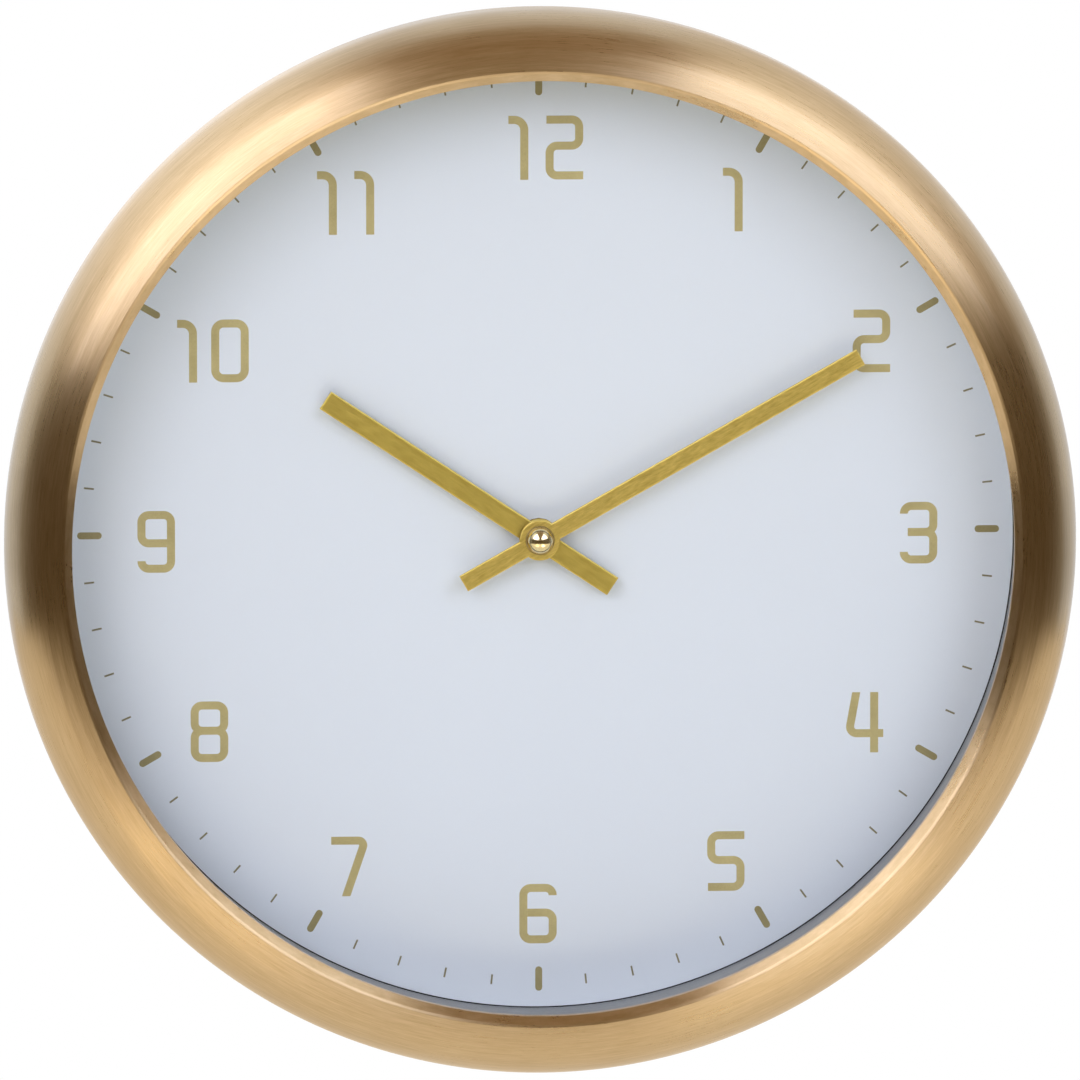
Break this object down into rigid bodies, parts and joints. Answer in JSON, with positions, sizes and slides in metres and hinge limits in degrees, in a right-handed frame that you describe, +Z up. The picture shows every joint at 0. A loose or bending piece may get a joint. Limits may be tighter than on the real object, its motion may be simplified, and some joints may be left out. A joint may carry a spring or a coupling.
{
  "type": "wall clock",
  "caption": "Round wall clock with a wide brushed metal bezel, flat glass, plain numbered dial, two hands and a battery quartz movement in a moulded back case.",
  "frame": {"origin": "middle of the clock's depth on the hands' axis, which is the centre of its bounding box", "axes": "+Z up, -Y out of the dial towards the viewer, +Y into the wall, +X to the viewer's right"},
  "size_m": [0.305, 0.053, 0.305],
  "materials": {
    "bezel_metal": "gold anodised, brushed round the ring",
    "hand_metal": "gold anodised, finely brushed",
    "polished_brass": "mirror polished",
    "brass": "turned",
    "steel": "zinc plated",
    "copper": "enamelled copper wire, wound",
    "magnet": "moulded ferrite",
    "lens_glass": "clear, flat",
    "dial_paint": "matt bluish white",
    "grey_plastic": "satin",
    "black_plastic": "fine grain",
    "body_plastic": "satin",
    "white_plastic": "natural acetal",
    "board": "solder mask",
    "black_rubber": "matt",
    "battery_skin": "printed film, plain"
  },
  "bodies": {
    "case": {"bezel": "bezel_metal", "lens_gasket": "black_rubber", "lens": "lens_glass", "inner_ring": "grey_plastic", "dial": "dial_paint", "back_case": "black_plastic", "case_screw_1": "steel", "case_screw_2": "steel", "case_screw_3": "steel", "case_screw_4": "steel", "hanger_plate": "steel", "hanger_screw_1": "steel", "hanger_screw_2": "steel", "post_nut": "brass", "post_washer": "brass", "cushion_washer": "black_rubber", "movement_base": "body_plastic", "movement_cover": "body_plastic", "train_plate": "white_plastic", "coil_core": "steel", "stator": "steel", "coil_bobbin": "white_plastic", "coil_winding": "copper", "stator_screw_1": "steel", "stator_screw_2": "steel", "circuit_board": "board", "circuit_chip": "black_rubber", "quartz_crystal": "steel", "contact_plus": "steel", "contact_minus": "steel"},
    "minute_hand": {"minute_hand": "hand_metal", "minute_arbor": "brass", "hand_cap": "polished_brass"},
    "hour_hand": {"hour_hand": "hand_metal", "hour_wheel": "white_plastic"},
    "minute_wheel": {"minute_wheel": "white_plastic"},
    "setting_knob": {"setting_knob": "white_plastic"},
    "centre_wheel": {"centre_wheel": "white_plastic"},
    "third_wheel": {"third_wheel": "white_plastic"},
    "fourth_wheel": {"fourth_wheel": "white_plastic"},
    "intermediate_wheel": {"intermediate_wheel": "white_plastic"},
    "rotor": {"rotor": "magnet"},
    "battery": {"battery": "battery_skin"}
  },
  "joints": [
    {"name": "minute_turn", "type": "hinge", "parent": "case", "child": "minute_hand", "pos_m": [0, 0, 0], "axis": [0, 1, 0], "continuous": true},
    {"name": "hour_turn", "type": "hinge", "parent": "case", "child": "hour_hand", "pos_m": [0, 0, 0], "axis": [0, 1, 0], "continuous": true},
    {"name": "minute_wheel_turn", "type": "hinge", "parent": "case", "child": "minute_wheel", "pos_m": [-0.00831, 0, 0.0048], "axis": [0, 1, 0], "continuous": true},
    {"name": "setting_knob_turn", "type": "hinge", "parent": "case", "child": "setting_knob", "pos_m": [-0.00998, 0, 0.01425], "axis": [0, 1, 0], "continuous": true},
    {"name": "fourth_wheel_turn", "type": "hinge", "parent": "case", "child": "fourth_wheel", "pos_m": [0.00594, 0, 0.01479], "axis": [0, 1, 0], "continuous": true},
    {"name": "centre_wheel_turn", "type": "hinge", "parent": "case", "child": "centre_wheel", "pos_m": [0, 0, 0], "axis": [0, 1, 0], "continuous": true},
    {"name": "third_wheel_turn", "type": "hinge", "parent": "case", "child": "third_wheel", "pos_m": [0.00745, 0, 0.00625], "axis": [0, 1, 0], "continuous": true},
    {"name": "intermediate_wheel_turn", "type": "hinge", "parent": "case", "child": "intermediate_wheel", "pos_m": [0.01179, 0, 0.01582], "axis": [0, 1, 0], "continuous": true},
    {"name": "rotor_turn", "type": "hinge", "parent": "case", "child": "rotor", "pos_m": [0.01696, 0, 0.01673], "axis": [0, 1, 0], "continuous": true},
    {"name": "battery_pull", "type": "slide", "parent": "case", "child": "battery", "axis": [0, 1, 0], "range_m": [0, 0.02]}
  ],
  "couplings": [
    {"joint": "hour_turn", "follows": "minute_turn", "ratio": 0.083333},
    {"joint": "minute_wheel_turn", "follows": "minute_turn", "ratio": -0.33333},
    {"joint": "setting_knob_turn", "follows": "minute_turn", "ratio": 1},
    {"joint": "third_wheel_turn", "follows": "fourth_wheel_turn", "ratio": -0.13333},
    {"joint": "centre_wheel_turn", "follows": "fourth_wheel_turn", "ratio": 0.016667},
    {"joint": "intermediate_wheel_turn", "follows": "fourth_wheel_turn", "ratio": -5},
    {"joint": "rotor_turn", "follows": "fourth_wheel_turn", "ratio": 30}
  ]
}
